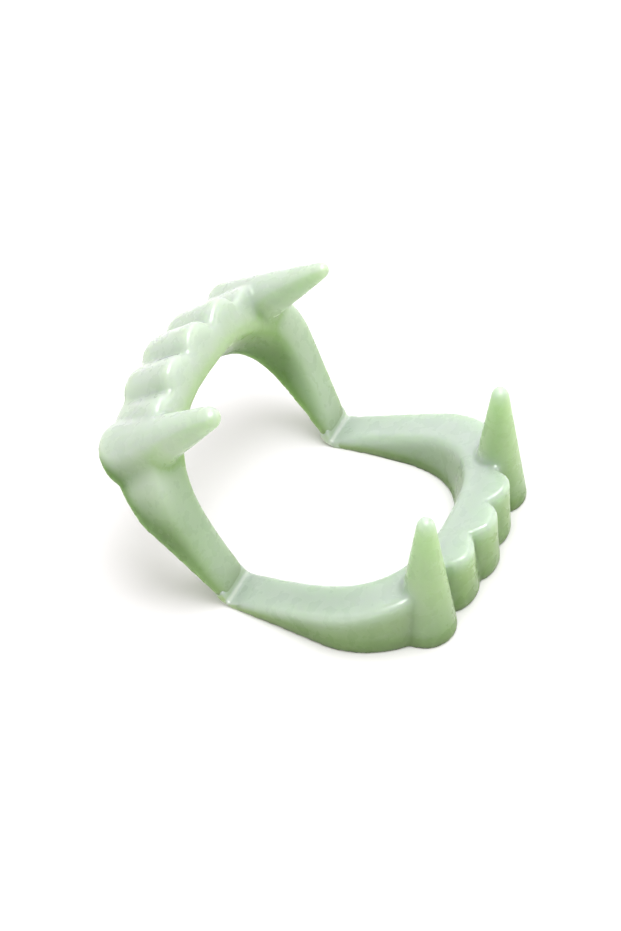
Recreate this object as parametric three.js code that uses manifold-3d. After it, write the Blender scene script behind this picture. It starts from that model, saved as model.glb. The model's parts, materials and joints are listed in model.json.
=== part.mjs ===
// Vampire fang denture: two U-shaped tooth arches of one soft moulding, joined by a thin crease at both
// back ends. All sizes are in millimetres. +Z is up, -Y is the front, X runs along the crease.
import * as THREE from 'three';
import Module from 'manifold-3d';
import { mergeVertices } from 'three/addons/utils/BufferGeometryUtils.js';

const wasm = await Module();
wasm.setup();

// Crease
const openAngle = 126;        // between the two gum planes as the part stands
const creaseHeight = 1.05;    // bite face above the gum plane at the crease
const creaseOuterHalf = 26.5;
const creaseInnerHalf = 18.1;
const webRadius = 0.5;
const webGap = 0.3;
const webSetback = 0.2;       // web ends inside the arch's sides
const creaseBehind = 8.3;     // crease behind the middle of the part's footprint

// Plan of one arch, measured forward from the crease
const outerCentre = 21;
const outerReach = 21.4;
const outerHalf = 28;
const outerPower = 2.1;
const innerCentre = 16;
const innerReach = 17.4;
const innerHalf = 20.1;
const innerPower = 2.6;
const biteSlope = 0.29;
const biteCrown = 0.4;        // bulge of the bite face over its straight slope
const biteLength = 40;
const outerDraft = 0.07;      // share of the height by which an arm's outer wall spreads at the gum
const innerDraft = 0.22;      // the same for the inner wall, which leans into the mouth
const biteEdge = 0.9;         // rounding along the outer bite edge
const innerEdge = 0.7;

// Front teeth in relief: the grooves are deeper at the bite face than at the gum
const middleTooth = { centre: 0, half: 5, biteDepth: 3.3, gumDepth: 1.6 };
const sideTooth = { centre: 9.5, half: 4.5, biteDepth: 3, gumDepth: 1.3 };
const lastTooth = { centre: 18, half: 4, biteDepth: 2.8, gumDepth: 1 };
const toothPower = 2.2;

// Trough for the wearer's teeth
const wallThickness = 1.4;
const innerWall = 1.3;
const floorThickness = 1.7;
const troughStart = 7;
const troughRound = 0.8;

// Fangs
const lowerFang = { forward: 35.6, side: 17.4, root: 5.6, tipForward: 37, tipSide: 17.2, top: 28, tip: 1.5 };
const upperFang = { forward: 32.9, side: 20.8, root: 6.1, tipForward: 33.8, tipSide: 20.2, top: 28.8, tip: 1.4 };
const trimmedFang = { ...upperFang, top: 26.6, tip: 1.9 };    // one upper tip is trimmed blunt

const endFace = webRadius + webGap;
const armStations = 8;
const frontStations = 34;

const mix = (a, b, t) => a + (b - a) * t;

// Height of the bite face over the gum plane
function biteHeight(x) {
  const along = x / biteLength;
  return creaseHeight + biteSlope * x + 4 * biteCrown * along * (1 - along);
}

// Half width of the arm's outer side between the crease and the widest point
function armOuter(x) {
  return mix(creaseOuterHalf, outerHalf, (x / outerCentre) ** 1.3);
}

function armInner(x) {
  const left = 1 - x / innerCentre;
  return mix(innerHalf, creaseInnerHalf, left ** 1.6);
}

// Distance from the inner centre to the outer plan along one ray, closed in on by halving
function outerRay(beta) {
  let near = 0;
  let far = outerHalf + outerReach;
  for (let i = 0; i < 40; i += 1) {
    const ray = (near + far) / 2;
    const x = innerCentre + ray * Math.cos(beta);
    const y = ray * Math.sin(beta);
    const front = Math.max(0, (x - outerCentre) / outerReach) ** outerPower;
    const limit = x < outerCentre ? armOuter(x) : outerHalf * Math.max(0, 1 - front) ** (1 / outerPower);
    if (y < limit || (y === 0 && front < 1)) near = ray;
    else far = ray;
  }
  return near;
}

function innerRay(beta) {
  const c = Math.cos(beta) / innerReach;
  const s = Math.sin(beta) / innerHalf;
  return (c ** innerPower + s ** innerPower) ** (-1 / innerPower);
}

// Groove depth between the teeth, at a distance sideways from the middle of the front
function grooveDepth(side, level) {
  const y = Math.abs(side);
  const tooth = [middleTooth, sideTooth, lastTooth].find((t) => y <= t.centre + t.half);
  if (!tooth || (tooth === lastTooth && y > tooth.centre)) return 0;
  const share = Math.abs((y - tooth.centre) / tooth.half) ** toothPower;
  return share * mix(tooth.gumDepth, tooth.biteDepth, level);
}

// 1 along the row of front teeth and 0 along the arms
const toothRow = (side) => THREE.MathUtils.smoothstep(22 - Math.abs(side), 0, 6);

// Stations round the arch from one crease end to the other: outer and inner points of each section
function stations(firstForward) {
  const half = [];
  for (let i = 0; i < armStations; i += 1) {
    const x = mix(firstForward, innerCentre, i / armStations);
    half.push({ outer: [x, armOuter(x)], inner: [x, armInner(x)] });
  }
  for (let i = 0; i <= frontStations; i += 1) {
    const beta = (Math.PI / 2) * (1 - i / frontStations) ** 0.9;
    const far = outerRay(beta);
    const near = innerRay(beta);
    half.push({
      outer: [innerCentre + far * Math.cos(beta), far * Math.sin(beta)],
      inner: [innerCentre + near * Math.cos(beta), near * Math.sin(beta)],
    });
  }
  const other = half.slice(0, -1).reverse().map((s) => ({
    outer: [s.outer[0], -s.outer[1]],
    inner: [s.inner[0], -s.inner[1]],
  }));
  return half.concat(other);
}

// Closed body through a list of rings that all have the same number of points
function loft(rings) {
  const count = rings[0].length;
  const position = rings.flat(2);
  const index = [];
  for (let r = 0; r + 1 < rings.length; r += 1) {
    for (let i = 0; i < count; i += 1) {
      const a = r * count + i;
      const b = r * count + ((i + 1) % count);
      index.push(a, b, a + count, b, b + count, a + count);
    }
  }
  for (const [ring, flip] of [[0, true], [rings.length - 1, false]]) {
    const points = rings[ring].map((p) => new THREE.Vector3(...p));
    const u = points[1].clone().sub(points[0]).normalize();
    const normal = new THREE.Vector3();
    points.forEach((p, i) => normal.add(p.clone().cross(points[(i + 1) % count])));
    normal.normalize();
    const v = normal.clone().cross(u);
    const flat = points.map((p) => new THREE.Vector2(p.dot(u), p.dot(v)));
    for (const [a, b, c] of THREE.ShapeUtils.triangulateShape(flat, [])) {
      const face = [a, b, c].map((i) => ring * count + i);
      index.push(...(flip ? face.reverse() : face));
    }
  }
  const geometry = new THREE.BufferGeometry();
  geometry.setAttribute('position', new THREE.Float32BufferAttribute(position, 3));
  geometry.setIndex(index);
  return geometry;
}

function toManifold(geometry) {
  const merged = mergeVertices(geometry, 1e-4);
  const mesh = new wasm.Mesh({
    numProp: 3,
    vertProperties: new Float32Array(merged.attributes.position.array),
    triVerts: new Uint32Array(merged.index.array),
  });
  return new wasm.Manifold(mesh);
}

function toGeometry(solid) {
  const mesh = solid.getMesh();
  const geometry = new THREE.BufferGeometry();
  geometry.setAttribute('position', new THREE.BufferAttribute(new Float32Array(mesh.vertProperties), 3));
  geometry.setIndex(new THREE.BufferAttribute(new Uint32Array(mesh.triVerts), 1));
  return geometry;
}

// A point of one section, at an inset from the outer side towards the inner side
function sectionPoint(station, inset, z) {
  const [ox, oy] = station.outer;
  const [ix, iy] = station.inner;
  const width = Math.hypot(ix - ox, iy - oy);
  const t = inset / width;
  return [mix(ox, ix, t), mix(oy, iy, t), z];
}

function bodyRing(station) {
  const [ox, oy] = station.outer;
  const width = Math.hypot(station.inner[0] - ox, station.inner[1] - oy);
  const atBite = grooveDepth(oy, 1);
  const atGum = grooveDepth(oy, 0);
  const heightAt = (inset) => biteHeight(sectionPoint(station, inset, 0)[0]);
  const outerR = Math.min(biteEdge, 0.45 * heightAt(0));
  const innerR = Math.min(innerEdge, 0.45 * heightAt(width));
  const spread = outerDraft * heightAt(0) * (1 - toothRow(oy));
  const ring = [sectionPoint(station, atGum - spread, 0)];
  for (let i = 0; i <= 4; i += 1) {
    const a = (Math.PI / 8) * i;
    const inset = atBite + outerR * (1 - Math.cos(a));
    ring.push(sectionPoint(station, inset, heightAt(inset) - outerR * (1 - Math.sin(a))));
  }
  for (let i = 3; i >= 0; i -= 1) {
    const a = (Math.PI / 6) * i;
    const inset = width - innerR * (1 - Math.cos(a));
    ring.push(sectionPoint(station, inset, heightAt(inset) - innerR * (1 - Math.sin(a))));
  }
  ring.push(sectionPoint(station, width + innerDraft * heightAt(width), 0));
  return ring;
}

function troughRing(station) {
  const [ox, oy] = station.outer;
  const width = Math.hypot(station.inner[0] - ox, station.inner[1] - oy);
  const row = toothRow(oy);
  const gumInset = wallThickness + row * middleTooth.gumDepth;
  const topInset = wallThickness + row * middleTooth.biteDepth;
  const far = width - innerWall;
  const top = (inset) => biteHeight(sectionPoint(station, inset, 0)[0]) - floorThickness;
  const r = Math.min(troughRound, 0.4 * top(topInset));
  const spread = outerDraft * top(topInset) * (1 - row);
  const lean = innerDraft * top(far);
  return [
    sectionPoint(station, gumInset - spread, -1),
    sectionPoint(station, gumInset - spread, 0),
    sectionPoint(station, topInset, top(topInset) - r),
    sectionPoint(station, topInset + 0.3 * r, top(topInset) - 0.3 * r),
    sectionPoint(station, topInset + r, top(topInset + r)),
    sectionPoint(station, far - r, top(far - r)),
    sectionPoint(station, far - 0.3 * r, top(far) - 0.3 * r),
    sectionPoint(station, far, top(far) - r),
    sectionPoint(station, far + lean, 0),
    sectionPoint(station, far + lean, -1),
  ];
}

// A round fang from its root at the gum to a rounded tip
function fang(size, side) {
  const sides = 28;
  const rings = [];
  const shoulder = size.top - size.tip;
  const ringAt = (x, y, z, r) => Array.from({ length: sides }, (_, i) => {
    const a = (2 * Math.PI * i) / sides;
    return [x + r * Math.cos(a), y + r * Math.sin(a), z];
  });
  const steps = 6;
  for (let i = 0; i <= steps; i += 1) {
    const t = i / steps;
    const x = mix(size.forward, size.tipForward, t);
    const y = side * mix(size.side, size.tipSide, t);
    rings.push(ringAt(x, y, shoulder * t, mix(size.root, size.tip, t)));
  }
  for (const a of [20, 42, 64, 82]) {
    const rad = THREE.MathUtils.degToRad(a);
    const z = shoulder + size.tip * Math.sin(rad);
    rings.push(ringAt(size.tipForward, side * size.tipSide, z, size.tip * Math.cos(rad)));
  }
  return toManifold(loft(rings));
}

function arch(fangs) {
  let solid = toManifold(loft(stations(endFace).map(bodyRing)));
  const trough = toManifold(loft(stations(troughStart).map(troughRing)));
  solid = wasm.Manifold.union(solid, fang(fangs.left, -1));
  solid = wasm.Manifold.union(solid, fang(fangs.right, 1));
  solid = wasm.Manifold.difference(solid, trough);
  return toGeometry(solid).translate(0, 0, -creaseHeight);
}

// An arch is drawn forward, sideways and away from the gum; this turns it about the crease
function stand(mesh, angle) {
  const a = THREE.MathUtils.degToRad(angle);
  const forward = new THREE.Vector3(0, -Math.cos(a), Math.sin(a));
  const along = new THREE.Vector3(angle > 0 ? -1 : 1, 0, 0);
  const away = forward.clone().cross(along);
  mesh.setRotationFromMatrix(new THREE.Matrix4().makeBasis(forward, along, away));
  mesh.position.set(0, 0, creaseHeight);
}

function web() {
  const length = creaseOuterHalf - creaseInnerHalf - 2 * webSetback;
  return new THREE.CylinderGeometry(webRadius, webRadius, length, 20).rotateZ(Math.PI / 2);
}

const group = new THREE.Group();
const soft = new THREE.MeshStandardMaterial({ color: 0xc4dfbb, roughness: 0.4, metalness: 0 });
const worked = new THREE.MeshStandardMaterial({ color: 0xd8e8d2, roughness: 0.5, metalness: 0 });

function add(name, geometry, material) {
  const mesh = new THREE.Mesh(geometry, material);
  mesh.name = name;
  group.add(mesh);
  return mesh;
}

stand(add('lower_arch', arch({ left: lowerFang, right: lowerFang }), soft), 0);
stand(add('upper_arch', arch({ left: upperFang, right: trimmedFang }), soft), openAngle);
for (const [name, side] of [['hinge_web_left', -1], ['hinge_web_right', 1]]) {
  const mesh = add(name, web(), worked);
  mesh.position.set((side * (creaseOuterHalf + creaseInnerHalf)) / 2, 0, creaseHeight);
}

group.position.y = creaseBehind;

export default group;
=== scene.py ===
import json
import math

import bmesh
import bpy
from mathutils import Matrix, Vector


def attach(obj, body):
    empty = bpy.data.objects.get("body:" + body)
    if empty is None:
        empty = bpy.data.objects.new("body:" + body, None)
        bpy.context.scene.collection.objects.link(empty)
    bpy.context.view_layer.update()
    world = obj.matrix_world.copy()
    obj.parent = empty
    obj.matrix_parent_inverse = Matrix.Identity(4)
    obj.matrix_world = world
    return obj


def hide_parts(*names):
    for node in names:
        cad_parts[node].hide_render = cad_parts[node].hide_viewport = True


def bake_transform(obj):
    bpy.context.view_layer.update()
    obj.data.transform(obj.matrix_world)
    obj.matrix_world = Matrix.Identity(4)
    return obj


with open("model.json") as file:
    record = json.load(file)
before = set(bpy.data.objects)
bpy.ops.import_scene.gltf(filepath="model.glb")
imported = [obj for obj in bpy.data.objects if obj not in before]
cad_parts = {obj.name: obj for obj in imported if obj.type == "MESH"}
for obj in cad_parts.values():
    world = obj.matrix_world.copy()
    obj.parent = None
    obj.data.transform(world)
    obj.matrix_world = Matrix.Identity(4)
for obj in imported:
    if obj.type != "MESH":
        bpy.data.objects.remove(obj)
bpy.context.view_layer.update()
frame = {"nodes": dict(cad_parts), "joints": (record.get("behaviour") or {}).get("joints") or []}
mm = 0.001

# The crease line that both arches turn about, straight from the part's own hinge
crease = frame["joints"][0]
creasePoint = Vector(crease["pos_m"])
openAngle = math.radians(126)  # between the two gum planes at rest


def clearScene():
    # Blender's own default cube, lamp and camera
    for name in ("Cube", "Light", "Camera"):
        found = bpy.data.objects.get(name)
        if found:
            bpy.data.objects.remove(found)


clearScene()


def newMaterial(name):
    mat = bpy.data.materials.new(name)
    mat.use_nodes = True
    nodes = mat.node_tree.nodes
    nodes.clear()
    shader = nodes.new("ShaderNodeBsdfPrincipled")
    out = nodes.new("ShaderNodeOutputMaterial")
    mat.node_tree.links.new(shader.outputs[0], out.inputs[0])
    return mat, nodes, mat.node_tree.links, shader


def noise(nodes, links, place, size, detail=3.0, rough=0.5):
    tex = nodes.new("ShaderNodeTexNoise")
    tex.inputs["Scale"].default_value = 1 / size
    tex.inputs["Detail"].default_value = detail
    tex.inputs["Roughness"].default_value = rough
    links.new(place, tex.inputs["Vector"])
    return tex.outputs["Fac"]


def ramp(nodes, links, source, stops):
    node = nodes.new("ShaderNodeValToRGB")
    band = node.color_ramp
    while len(band.elements) < len(stops):
        band.elements.new(0.5)
    for element, (position, colour) in zip(band.elements, stops):
        element.position = position
        element.color = (*colour, 1) if len(colour) == 3 else (colour[0],) * 3 + (1,)
    links.new(source, node.inputs[0])
    return node.outputs["Color"]


def socketOf(sockets, kind):
    return [s for s in sockets if s.type == kind][0]


def mixColour(nodes, links, factor, a, b):
    node = nodes.new("ShaderNodeMix")
    node.data_type = "RGBA"
    colours = [s for s in node.inputs if s.type == "RGBA"]
    if isinstance(factor, float):
        node.inputs[0].default_value = factor
    else:
        links.new(factor, node.inputs[0])
    for socket, value in zip(colours, (a, b)):
        if isinstance(value, tuple):
            socket.default_value = (*value, 1)
        else:
            links.new(value, socket)
    return socketOf(node.outputs, "RGBA")


def multiply(nodes, links, amount, a, b):
    result = mixColour(nodes, links, amount, a, b)
    result.node.blend_type = "MULTIPLY"
    return result


def mathNode(nodes, links, operation, a, b=None, c=None):
    node = nodes.new("ShaderNodeMath")
    node.operation = operation
    for socket, value in zip(node.inputs, (a, b, c)):
        if value is None:
            continue
        if isinstance(value, (int, float)):
            socket.default_value = value
        else:
            links.new(value, socket)
    return node.outputs[0]


def acrossFrom(nodes, links, place, direction):
    # Distance from the crease line along one direction
    dot = nodes.new("ShaderNodeVectorMath")
    dot.operation = "DOT_PRODUCT"
    links.new(place, dot.inputs[0])
    dot.inputs[1].default_value = direction
    return mathNode(nodes, links, "SUBTRACT", dot.outputs["Value"], Vector(direction).dot(creasePoint))


lowerUp = Vector((0, 0, 1))  # from each arch's gum plane to its bite
upperUp = Vector((0, -math.sin(openAngle), -math.cos(openAngle)))
# From the lower arch's side of the crease to the upper's
acrossCrease = Vector((0, math.sin(openAngle / 2), math.cos(openAngle / 2)))

glowPlastic = {
    "clear": (0.370, 0.525, 0.235),
    "cloudy": (0.385, 0.535, 0.260),
    # painted pale sheen where the piece faces up as it lies
    "paintedTopSheen": {"lower": (0.415, 0.515, 0.405), "upper": (0.485, 0.56, 0.47)},
    "fangs": {"lower": 0.0, "upper": 0.72},  # how much painted pale sheen the fangs get all round
    "fangPaintedShade": {"lower": (0.91, 0.915, 0.91), "upper": (1.0, 1.0, 1.0)},  # painted shade through the middle of the fangs
    "fangPaintedShadeSpan": (4 * mm, 27 * mm),
    "fangStart": (9 * mm, 15 * mm),  # above the gum plane
    # painted shade low on the walls, towards the gum plane
    "root": {"lower": (0.43, 0.50, 0.40), "upper": (0.26, 0.32, 0.24)},
    "rootRise": 13 * mm,
    "rootFade": 15 * mm,  # the painted shade low on the walls comes in over this from the crease
    # painted shade on surfaces that face down
    "paintedUndersideShade": (1.0, 1.0, 0.98),
    "arms": {"lower": (1.0, 1.0, 1.0), "upper": (0.86, 0.885, 0.85)},  # painted shade towards the crease
    "paintedArmShadeReach": 25 * mm,
    "stressWhite": (0.50, 0.60, 0.47),
    "roughness": (0.24, 0.32),
    "roughnessBand": (0.3, 0.7),  # of the noise that the roughness follows
    "stressReach": 0.55 * mm,
    "stressFray": 0.3 * mm,
    "lightSpread": (1.05, 1.3, 0.8),  # red, green and blue light inside the plastic
    "lightScale": 6.0 * mm,
    "thinEnds": 7 * mm,  # within this of the crease less light runs on inside
    "creaseLight": 0.4,
    "refraction": 1.45,
    "coatRoughness": 0.10,
}


def softPlastic(name, body, gumUp, whitened=False):
    # Pale green glow plastic: cloudy pigment, faint flow marks, satin skin, whitened where it is bent,
    # with painted shade low towards the gum edge, on down-facing sides, through the lower fangs and on the
    # upper arms, and a painted pale sheen where it faces up; gumUp is the way from that arch's gum plane to
    # its bite
    look = glowPlastic
    mat, nodes, links, shader = newMaterial(name)
    place = nodes.new("ShaderNodeTexCoord").outputs["Object"]

    cloud = noise(nodes, links, place, 9 * mm, 2.0)
    colour = ramp(nodes, links, cloud, [(0.36, look["clear"]), (0.66, look["cloudy"])])
    speck = noise(nodes, links, place, 0.7 * mm, 4.0, 0.65)
    speckBand = ramp(nodes, links, speck, [(0.40, (0.92,)), (0.62, (1.0,))])
    colour = multiply(nodes, links, 0.5, colour, speckBand)

    # Height above the gum plane
    above = mathNode(nodes, links, "ADD", acrossFrom(nodes, links, place, gumUp), creasePoint.z)
    height = mathNode(nodes, links, "DIVIDE", above, look["rootRise"])
    # Painted shade: darker low on the walls towards the gum plane, less of it by the crease
    rootBand = ramp(nodes, links, height, [(0.0, look["root"][body]), (1.0, (1.0, 1.0, 1.0))])
    fromCrease = mathNode(nodes, links, "ABSOLUTE", acrossFrom(nodes, links, place, acrossCrease))
    fade = mathNode(nodes, links, "DIVIDE", fromCrease, look["rootFade"])
    rootAmount = ramp(nodes, links, fade, [(0.0, (0.35,)), (1.0, (1.0,))])
    colour = multiply(nodes, links, rootAmount, colour, rootBand)

    # Painted shade where the piece faces down, painted pale sheen where it faces up as it lies, worked out
    # on the mesh and spread over its edges
    facing = nodes.new("ShaderNodeAttribute")
    facing.attribute_name = "facingUp"
    turned = mathNode(nodes, links, "MULTIPLY_ADD", facing.outputs["Fac"], 0.5, 0.5)
    # Painted shade on surfaces that face down
    colour = multiply(nodes, links, 1.0, colour,
                      ramp(nodes, links, turned, [(0.38, look["paintedUndersideShade"]), (0.53, (1.0, 1.0, 1.0))]))
    # Painted pale sheen on surfaces that face up
    topSheen = ramp(nodes, links, turned, [(0.51, (0.0,)), (0.73, (1.0,))])
    # Painted shade through the middle of the lower fangs
    start, end = look["fangPaintedShadeSpan"]
    inFangShade = mathNode(nodes, links, "DIVIDE", mathNode(nodes, links, "SUBTRACT", above, start), end - start)
    plain = (1.0, 1.0, 1.0)
    colour = multiply(nodes, links, 1.0, colour, ramp(nodes, links, inFangShade, [
        (0.0, plain), (0.35, look["fangPaintedShade"][body]), (0.6, look["fangPaintedShade"][body]), (1.0, plain)]))
    # Painted pale sheen on the upper fangs, coming in above the gum plane
    start, end = look["fangStart"]
    onFang = mathNode(nodes, links, "DIVIDE", mathNode(nodes, links, "SUBTRACT", above, start), end - start)
    fangSheen = ramp(nodes, links, onFang, [(0.0, (0.0,)), (1.0, (look["fangs"][body],))])
    topSheen = mathNode(nodes, links, "MAXIMUM", topSheen, fangSheen)
    colour = mixColour(nodes, links, topSheen, colour, look["paintedTopSheen"][body])
    # Painted shade on the upper arms towards the crease
    along = mathNode(nodes, links, "DIVIDE", fromCrease, look["paintedArmShadeReach"])
    colour = multiply(nodes, links, 1.0, colour, ramp(nodes, links, along, [
        (0.55, look["arms"][body]), (1.0, (1.0, 1.0, 1.0))]))

    if whitened:
        # Pale line along the bend, frayed a little
        frayed = mathNode(nodes, links, "MULTIPLY_ADD", noise(nodes, links, place, 1.2 * mm),
                          look["stressFray"], fromCrease)
        reach = mathNode(nodes, links, "DIVIDE", frayed, look["stressReach"])
        colour = mixColour(nodes, links, ramp(nodes, links, reach, [(0.45, (1.0,)), (1.0, (0.0,))]),
                           colour, look["stressWhite"])
    links.new(colour, shader.inputs["Base Color"])

    low, high = look["roughness"]
    patchy = noise(nodes, links, place, 3 * mm, 3.0)
    roughness = nodes.new("ShaderNodeMapRange")
    links.new(patchy, roughness.inputs[0])
    for socket, value in zip(list(roughness.inputs)[1:5], (*look["roughnessBand"], low, high)):
        socket.default_value = value
    links.new(roughness.outputs[0], shader.inputs["Roughness"])

    # Long shallow flow ripples with a fine skin over them
    flow = noise(nodes, links, place, 4.5 * mm, 1.5)
    skin = noise(nodes, links, place, 0.35 * mm, 3.0, 0.6)
    fine = nodes.new("ShaderNodeBump")
    fine.inputs["Strength"].default_value = 0.08
    fine.inputs["Distance"].default_value = 0.02 * mm
    links.new(skin, fine.inputs["Height"])
    broad = nodes.new("ShaderNodeBump")
    broad.inputs["Strength"].default_value = 0.18
    broad.inputs["Distance"].default_value = 0.2 * mm
    links.new(flow, broad.inputs["Height"])
    links.new(fine.outputs[0], broad.inputs["Normal"])
    links.new(broad.outputs[0], shader.inputs["Normal"])
    # The gloss breaks up over small ripples
    ripple = nodes.new("ShaderNodeBump")
    ripple.inputs["Strength"].default_value = 0.2
    ripple.inputs["Distance"].default_value = 0.15 * mm
    links.new(noise(nodes, links, place, 1.6 * mm, 2.0), ripple.inputs["Height"])
    links.new(ripple.outputs[0], shader.inputs["Coat Normal"])

    if whitened:
        shader.inputs["Subsurface Weight"].default_value = look["creaseLight"]
    else:
        # The thin ends by the crease let less light run on inside
        thin = mathNode(nodes, links, "DIVIDE", fromCrease, look["thinEnds"])
        inside = ramp(nodes, links, thin, [(0.15, (0.2,)), (1.0, (1.0,))])
        links.new(inside, shader.inputs["Subsurface Weight"])
    shader.inputs["Subsurface Radius"].default_value = look["lightSpread"]
    shader.inputs["Subsurface Scale"].default_value = look["lightScale"]
    shader.inputs["IOR"].default_value = look["refraction"]
    # Glossy above, duller on the drafted walls and below
    shine = ramp(nodes, links, turned, [(0.55, (0.2,)), (0.74, (0.35,))])
    links.new(shine, shader.inputs["Specular IOR Level"])
    gloss = ramp(nodes, links, turned, [(0.58, (0.0,)), (0.74, (0.5,))])
    offFangs = ramp(nodes, links, onFang, [(0.0, (1.0,)), (1.0, (0.2,))])
    links.new(mathNode(nodes, links, "MULTIPLY", gloss, offFangs), shader.inputs["Coat Weight"])
    shader.inputs["Coat Roughness"].default_value = look["coatRoughness"]
    return mat


lowerFinish = softPlastic("soft_glow_plastic_lower", "lower", lowerUp)
upperFinish = softPlastic("soft_glow_plastic_upper", "upper", upperUp)
creaseFinish = softPlastic("whitened_crease", "lower", (lowerUp + upperUp).normalized(), whitened=True)
print("finishes made")

mouldedSkin = {
    "weld": 0.002 * mm,
    "cell": 0.29 * mm,  # size of the remeshed faces
    "soften steps": {"lower": 7, "upper": 29},  # rounds every edge and root as the mould does
    "crisp by crease": (1.3 * mm, 4.5 * mm),  # the thin ends keep their thickness
    "crisp on fangs": (12 * mm, 17 * mm),  # and the fangs their points
    "least softening": {"crease": 0.12, "fangs": 0.3},
    "swell": {"lower": 0.18 * mm, "upper": 0.27 * mm},  # gives back what the softening takes
    "wave depth": {"lower": 0.05 * mm, "upper": 0.11 * mm},
    "wave size": {"lower": 6 * mm, "upper": 4 * mm},
    "seed": 7,
    "bite side by crease": (1.2 * mm, 3.2 * mm),
    "end face turn": (-0.7, -0.2),  # how squarely an arm's hidden end looks at the crease
    "painted sheen steps": 90,  # how far the painted pale sheen spreads over the edges
}


def softMouldingTree():
    # Rounds a remeshed body and lays the faint waviness of a soft moulding on it
    tree = bpy.data.node_groups.new("softMoulding", "GeometryNodeTree")
    sockets = tree.interface
    sockets.new_socket("Geometry", in_out="INPUT", socket_type="NodeSocketGeometry")
    for name, kind in (
        ("Soften Steps", "NodeSocketInt"),
        ("Swell", "NodeSocketFloat"),
        ("Wave Depth", "NodeSocketFloat"),
        ("Wave Size", "NodeSocketFloat"),
        ("Seed", "NodeSocketInt"),
        ("Painted Sheen Steps", "NodeSocketInt"),
        ("Bite Direction", "NodeSocketVector"),
        ("Finish", "NodeSocketMaterial"),
    ):
        sockets.new_socket(name, in_out="INPUT", socket_type=kind)
    sockets.new_socket("Geometry", in_out="OUTPUT", socket_type="NodeSocketGeometry")
    nodes, links = tree.nodes, tree.links
    given = nodes.new("NodeGroupInput").outputs
    result = nodes.new("NodeGroupOutput").inputs

    place = nodes.new("GeometryNodeInputPosition").outputs[0]
    blur = nodes.new("GeometryNodeBlurAttribute")
    blur.data_type = "FLOAT_VECTOR"
    links.new(place, socketOf(blur.inputs, "VECTOR"))
    links.new(given["Soften Steps"], blur.inputs["Iterations"])

    fromCrease = nodes.new("ShaderNodeVectorMath")
    fromCrease.operation = "SUBTRACT"
    links.new(place, fromCrease.inputs[0])
    fromCrease.inputs[1].default_value = creasePoint
    across = nodes.new("ShaderNodeVectorMath")
    across.operation = "MULTIPLY"
    links.new(fromCrease.outputs[0], across.inputs[0])
    across.inputs[1].default_value = (0, 1, 1)
    reach = nodes.new("ShaderNodeVectorMath")
    reach.operation = "LENGTH"
    links.new(across.outputs[0], reach.inputs[0])
    height = nodes.new("ShaderNodeVectorMath")
    height.operation = "DOT_PRODUCT"
    links.new(fromCrease.outputs[0], height.inputs[0])
    links.new(given["Bite Direction"], height.inputs[1])
    least = mouldedSkin["least softening"]
    weights = []
    for source, (start, end), (first, last) in (
        (reach.outputs["Value"], mouldedSkin["crisp by crease"], (least["crease"], 1.0)),
        (height.outputs["Value"], mouldedSkin["crisp on fangs"], (1.0, least["fangs"])),
    ):
        fade = nodes.new("ShaderNodeMapRange")
        fade.interpolation_type = "SMOOTHSTEP"
        for socket, value in zip(list(fade.inputs)[1:5], (start, end, first, last)):
            socket.default_value = value
        links.new(source, fade.inputs[0])
        weights.append(fade.outputs[0])
    both = nodes.new("ShaderNodeMath")
    both.operation = "MULTIPLY"
    links.new(weights[0], both.inputs[0])
    links.new(weights[1], both.inputs[1])
    links.new(both.outputs[0], blur.inputs["Weight"])
    rounded = nodes.new("GeometryNodeSetPosition")
    links.new(given["Geometry"], rounded.inputs["Geometry"])
    links.new(socketOf(blur.outputs, "VECTOR"), rounded.inputs["Position"])

    wave = nodes.new("ShaderNodeTexNoise")
    wave.noise_dimensions = "4D"
    wave.inputs["Detail"].default_value = 1.5
    links.new(given["Seed"], wave.inputs["W"])
    perSize = nodes.new("ShaderNodeMath")
    perSize.operation = "DIVIDE"
    perSize.inputs[0].default_value = 1.0
    links.new(given["Wave Size"], perSize.inputs[1])
    links.new(perSize.outputs[0], wave.inputs["Scale"])
    links.new(place, wave.inputs["Vector"])
    centred = nodes.new("ShaderNodeMath")
    centred.operation = "SUBTRACT"
    links.new(wave.outputs["Fac"], centred.inputs[0])
    centred.inputs[1].default_value = 0.5
    depth = nodes.new("ShaderNodeMath")
    depth.operation = "MULTIPLY_ADD"
    links.new(centred.outputs[0], depth.inputs[0])
    links.new(given["Wave Depth"], depth.inputs[1])
    swelling = nodes.new("ShaderNodeMath")
    swelling.operation = "MULTIPLY"
    links.new(given["Swell"], swelling.inputs[0])
    links.new(weights[0], swelling.inputs[1])
    links.new(swelling.outputs[0], depth.inputs[2])
    push = nodes.new("ShaderNodeVectorMath")
    push.operation = "SCALE"
    links.new(nodes.new("GeometryNodeInputNormal").outputs[0], push.inputs[0])
    links.new(depth.outputs[0], push.inputs["Scale"])
    waved = nodes.new("GeometryNodeSetPosition")
    links.new(rounded.outputs[0], waved.inputs["Geometry"])
    links.new(push.outputs[0], waved.inputs["Offset"])

    # The gum side stays on the table
    reached = nodes.new("ShaderNodeSeparateXYZ")
    links.new(place, reached.inputs[0])
    floorLevel = nodes.new("ShaderNodeMath")
    floorLevel.operation = "MAXIMUM"
    links.new(reached.outputs["Z"], floorLevel.inputs[0])
    floorLevel.inputs[1].default_value = 0.0
    lifted = nodes.new("ShaderNodeCombineXYZ")
    links.new(reached.outputs["X"], lifted.inputs["X"])
    links.new(reached.outputs["Y"], lifted.inputs["Y"])
    links.new(floorLevel.outputs[0], lifted.inputs["Z"])
    settled = nodes.new("GeometryNodeSetPosition")
    links.new(waved.outputs[0], settled.inputs["Geometry"])
    links.new(lifted.outputs[0], settled.inputs["Position"])

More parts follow.
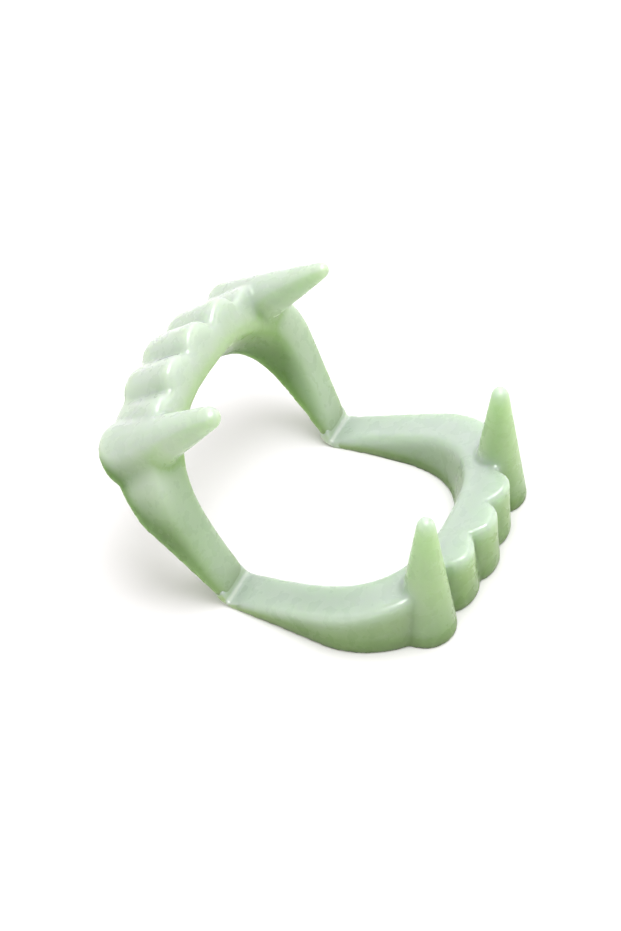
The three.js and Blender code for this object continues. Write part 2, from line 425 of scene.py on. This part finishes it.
    # How far each point faces up, spread over the edges; the painted sheen and the painted underside shade
    # follow it
    faceNormal = nodes.new("GeometryNodeInputNormal").outputs[0]
    upward = nodes.new("ShaderNodeSeparateXYZ")
    links.new(faceNormal, upward.inputs[0])
    spread = nodes.new("GeometryNodeBlurAttribute")
    spread.data_type = "FLOAT"
    # An arm's end inside the crease counts as its bite side
    biteUp = nodes.new("ShaderNodeSeparateXYZ")
    links.new(given["Bite Direction"], biteUp.inputs[0])
    away = nodes.new("ShaderNodeVectorMath")
    away.operation = "NORMALIZE"
    links.new(across.outputs[0], away.inputs[0])
    facingAway = nodes.new("ShaderNodeVectorMath")
    facingAway.operation = "DOT_PRODUCT"
    links.new(away.outputs[0], facingAway.inputs[0])
    links.new(faceNormal, facingAway.inputs[1])
    amounts = []
    for source, (start, end) in ((reach.outputs["Value"], mouldedSkin["bite side by crease"]),
                                 (facingAway.outputs["Value"], mouldedSkin["end face turn"])):
        fade = nodes.new("ShaderNodeMapRange")
        fade.interpolation_type = "SMOOTHSTEP"
        for socket, value in zip(list(fade.inputs)[1:5], (start, end, 1.0, 0.0)):
            socket.default_value = value
        links.new(source, fade.inputs[0])
        amounts.append(fade.outputs[0])
    endFace = nodes.new("ShaderNodeMath")
    endFace.operation = "MULTIPLY"
    links.new(amounts[0], endFace.inputs[0])
    links.new(amounts[1], endFace.inputs[1])
    floorValue = nodes.new("ShaderNodeMapRange")
    links.new(endFace.outputs[0], floorValue.inputs[0])
    floorValue.inputs[3].default_value = -1.0
    links.new(biteUp.outputs["Z"], floorValue.inputs[4])
    atLeast = nodes.new("ShaderNodeMath")
    atLeast.operation = "MAXIMUM"
    links.new(upward.outputs["Z"], atLeast.inputs[0])
    links.new(floorValue.outputs[0], atLeast.inputs[1])
    links.new(atLeast.outputs[0], socketOf(spread.inputs, "VALUE"))
    links.new(given["Painted Sheen Steps"], spread.inputs["Iterations"])
    stored = nodes.new("GeometryNodeStoreNamedAttribute")
    stored.data_type = "FLOAT"
    stored.domain = "POINT"
    stored.inputs["Name"].default_value = "facingUp"
    links.new(settled.outputs[0], stored.inputs["Geometry"])
    links.new(socketOf(spread.outputs, "VALUE"), socketOf(stored.inputs, "VALUE"))

    smooth = nodes.new("GeometryNodeSetShadeSmooth")
    real = nodes.new("GeometryNodeRealizeInstances")
    paint = nodes.new("GeometryNodeSetMaterial")
    links.new(stored.outputs[0], smooth.inputs["Geometry"])
    links.new(smooth.outputs[0], real.inputs[0])
    links.new(real.outputs[0], paint.inputs["Geometry"])
    links.new(given["Finish"], paint.inputs["Material"])
    links.new(paint.outputs[0], result["Geometry"])
    return tree


def bake(obj):
    # The evaluated shape as a plain mesh
    bpy.context.view_layer.update()
    depsgraph = bpy.context.evaluated_depsgraph_get()
    plain = bpy.data.objects.new(obj.name + "_plain", bpy.data.meshes.new_from_object(
        obj.evaluated_get(depsgraph), depsgraph=depsgraph))
    bpy.context.scene.collection.objects.link(plain)
    name = obj.name
    bpy.data.objects.remove(obj)
    plain.name = name
    return plain


def setInputs(modifier, values):
    for item in modifier.node_group.interface.items_tree:
        if item.in_out == "INPUT" and item.name in values:
            modifier[item.identifier] = values[item.name]


mouldingTree = softMouldingTree()


def mouldedArch(name, node, body, finish, biteWay):
    source = frame["nodes"][node]
    mesh = source.data.copy()
    welded = bmesh.new()
    welded.from_mesh(mesh)
    bmesh.ops.remove_doubles(welded, verts=welded.verts, dist=mouldedSkin["weld"])
    welded.to_mesh(mesh)
    welded.free()
    mesh.materials.clear()
    arch = bpy.data.objects.new(name, mesh)
    bpy.context.scene.collection.objects.link(arch)
    remesh = arch.modifiers.new("remesh", "REMESH")
    remesh.mode = "VOXEL"
    remesh.voxel_size = mouldedSkin["cell"]
    skin = arch.modifiers.new("softMoulding", "NODES")
    skin.node_group = mouldingTree
    setInputs(skin, {
        "Soften Steps": mouldedSkin["soften steps"][body],
        "Bite Direction": tuple(biteWay),
        "Swell": mouldedSkin["swell"][body],
        "Wave Depth": mouldedSkin["wave depth"][body],
        "Wave Size": mouldedSkin["wave size"][body],
        "Seed": mouldedSkin["seed"],
        "Painted Sheen Steps": mouldedSkin["painted sheen steps"],
        "Finish": finish,
    })
    arch = bake(arch)
    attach(arch, body)
    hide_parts(node)
    print(name, len(arch.data.polygons), "faces")


mouldedArch("lower_arch_moulding", "lower_arch", "lower", lowerFinish, lowerUp)
mouldedArch("upper_arch_moulding", "upper_arch", "upper", upperFinish, upperUp)

creaseStrip = {
    "inner": 17.98 * mm,  # the arms' own section where they end, at the gum plane
    "outer": 26.60 * mm,
    "innerLean": 0.33,
    "outerLean": 0.10,
    "innerFlare": 0.115,
    "outerFlare": 0.067,
    "rise": 0.33,  # slope of the bite face by the crease
    "thickness": 1.05 * mm,
    "gumCorner": 0.24 * mm,
    "biteCorner": 0.50 * mm,
    "biteGap": 0.40 * mm,  # where the bend begins, on the bite side and on the gum side
    "gumGap": 0.80 * mm,
    # How it sinks into each arm: distance from the axis and growth, in millimetres
    "hold": ((2.6, -0.16), (2.1, -0.05), (1.7, -0.008), (1.3, 0.010), (0.9, 0.014)),
    "bendGrow": 0.014 * mm,
    "blendHalf": 0.6 * mm,
    "steps": 8,
}


def armSection(forward, grow):
    # Rounded outline of an arm's end as (side, up) points, from the gum plane to the bite face
    size = creaseStrip
    past = forward - 0.8 * mm
    top = size["thickness"] + size["rise"] * forward
    low = [size["inner"] + size["innerFlare"] * past, size["outer"] + size["outerFlare"] * past]
    corners = [
        (low[0] - grow, -grow * 0.3, size["gumCorner"]),
        (low[1] + grow, -grow * 0.3, size["gumCorner"]),
        (low[1] + grow - size["outerLean"] * top, top + grow, size["biteCorner"]),
        (low[0] - grow + size["innerLean"] * top, top + grow, size["biteCorner"]),
    ]
    outline = []
    for i, (x, z, radius) in enumerate(corners):
        here = Vector((x, z))
        before, after = Vector(corners[i - 1][:2]), Vector(corners[(i + 1) % 4][:2])
        start = here + (before - here).normalized() * radius
        end = here + (after - here).normalized() * radius
        for k in range(7):
            t = k / 6
            outline.append((1 - t) ** 2 * start + 2 * t * (1 - t) * here + t * t * end)
    return outline, top


def creaseStation(forward, gumForward, onUpper, grow, side):
    # One ring of the strip; it leans where the bend starts further out on the gum side
    outline, top = armSection(forward, grow)
    ring = []
    for point in outline:
        along = gumForward + (forward - gumForward) * point.y / top
        up = point.y - creaseStrip["thickness"]
        if onUpper:
            y = -math.cos(openAngle) * along - math.sin(openAngle) * up
            z = math.sin(openAngle) * along - math.cos(openAngle) * up
        else:
            y, z = -along, up
        ring.append(Vector((side * point.x, creasePoint.y + y, creasePoint.z + z)))
    return ring


def creaseStripMesh(name, side):
    size = creaseStrip
    rings = []
    for onUpper in (False, True):
        held = [creaseStation(forward * mm, (forward + 0.15) * mm, onUpper, grow * mm, side)
                for forward, grow in size["hold"]]
        held.append(creaseStation(size["biteGap"], size["gumGap"], onUpper, size["bendGrow"], side))
        rings += held[::-1] if onUpper else held
    half = len(rings) // 2
    bend = []
    for i in range(1, size["steps"]):
        t = i / size["steps"]
        bend.append([a.lerp(b, t) for a, b in zip(rings[half - 1], rings[half])])
    rings = rings[:half] + bend + rings[half:]
    mesh = bmesh.new()
    rings = [[mesh.verts.new(p) for p in ring] for ring in rings]
    count = len(rings[0])
    for ring, following in zip(rings, rings[1:]):
        for i in range(count):
            j = (i + 1) % count
            mesh.faces.new((ring[i], ring[j], following[j], following[i]))
    mesh.faces.new(rings[0])
    mesh.faces.new(rings[-1])
    bmesh.ops.recalc_face_normals(mesh, faces=mesh.faces)
    data = bpy.data.meshes.new(name)
    mesh.to_mesh(data)
    mesh.free()
    for polygon in data.polygons:
        polygon.use_smooth = len(polygon.vertices) == 4
    upness = data.attributes.new("facingUp", "FLOAT", "POINT")
    for vertex in data.vertices:
        upness.data[vertex.index].value = vertex.normal.z
    strip = bpy.data.objects.new(name, data)
    bpy.context.scene.collection.objects.link(strip)
    data.materials.append(creaseFinish)
    return strip


for name, node, side in (
    ("crease_strip_left", "hinge_web_left", -1),
    ("crease_strip_right", "hinge_web_right", 1),
):
    strip = creaseStripMesh(name, side)
    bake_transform(strip)
    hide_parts(node)
print("living hinge made")

studio = {
    "floorSide": 3.0,
    "floor": (0.87, 0.865, 0.83),
    "sky": (1.0, 0.98, 0.97),
    "skyStrength": 0.77,
    # Name, place, height aimed at, size, watts, colour, seen in the gloss alone
    "softboxes": (
        ("overhead", (0.05, -0.06, 0.54), 0.01, (0.36, 0.36), 2.1, (0.965, 0.94, 1.05), False),
        ("leftFill", (-0.12, 0.38, 0.38), 0.02, (0.40, 0.40), 0.2, (1.0, 0.97, 1.0), False),
        ("frontLow", (0.30, -0.42, 0.14), 0.02, (0.30, 0.20), 0.5, (1.0, 0.98, 0.98), False),
        ("rearSheen", (0.42, 0.22, 0.36), 0.02, (0.40, 0.30), 0.6, (0.95, 0.95, 1.04), False),
        ("glint", (-0.06, -0.12, 0.52), 0.02, (0.36, 0.30), 5.0, (0.97, 0.98, 1.0), True),
        ("farGlint", (0.33, 0.07, 0.43), 0.02, (0.12, 0.12), 0.4, (0.97, 0.98, 1.0), True),
    ),
}


def makeStudio():
    bpy.ops.mesh.primitive_plane_add(size=studio["floorSide"], location=(0, 0, 0))
    floor = bpy.context.object
    floor.name = "floor"
    mat, nodes, links, shader = newMaterial("pale_floor")
    shader.inputs["Base Color"].default_value = (*studio["floor"], 1)
    shader.inputs["Roughness"].default_value = 0.7
    floor.data.materials.append(mat)
    world = bpy.data.worlds.new("studio")
    world.use_nodes = True
    sky = world.node_tree.nodes["Background"]
    sky.inputs["Color"].default_value = (*studio["sky"], 1)
    sky.inputs["Strength"].default_value = studio["skyStrength"]
    bpy.context.scene.world = world


def softbox(name, place, aimHeight, size, power, colour, glintOnly):
    lamp = bpy.data.lights.new(name, "AREA")
    lamp.shape = "RECTANGLE"
    lamp.size, lamp.size_y = size
    lamp.energy = power
    lamp.color = colour
    holder = bpy.data.objects.new(name, lamp)
    bpy.context.scene.collection.objects.link(holder)
    holder.location = place
    holder.rotation_euler = (Vector((0, 0, aimHeight)) - Vector(place)).to_track_quat("-Z", "Y").to_euler()
    holder.visible_diffuse = not glintOnly


makeStudio()
for box in studio["softboxes"]:
    softbox(*box)

view = {  # the photograph's own view
    "place": (-206.7, -122.0, 254.0),  # millimetres
    "aim": (11.8, 9.8, 0.1),
    "roll": -7.8,
    "lens": 70.6,
}


def makeCamera():
    data = bpy.data.cameras.new("camera")
    camera = bpy.data.objects.new("camera", data)
    bpy.context.scene.collection.objects.link(camera)
    place = Vector(view["place"]) * mm
    look = (Vector(view["aim"]) * mm - place).to_track_quat("-Z", "Y").to_matrix().to_4x4()
    roll = Matrix.Rotation(math.radians(view["roll"]), 4, "Z")
    camera.matrix_world = Matrix.Translation(place) @ look @ roll
    data.sensor_fit = "VERTICAL"
    data.sensor_height = 36
    data.lens = view["lens"]
    data.clip_start = 0.01
    bpy.context.scene.camera = camera


makeCamera()
bpy.context.scene.view_settings.view_transform = "Standard"
print("studio and camera made")
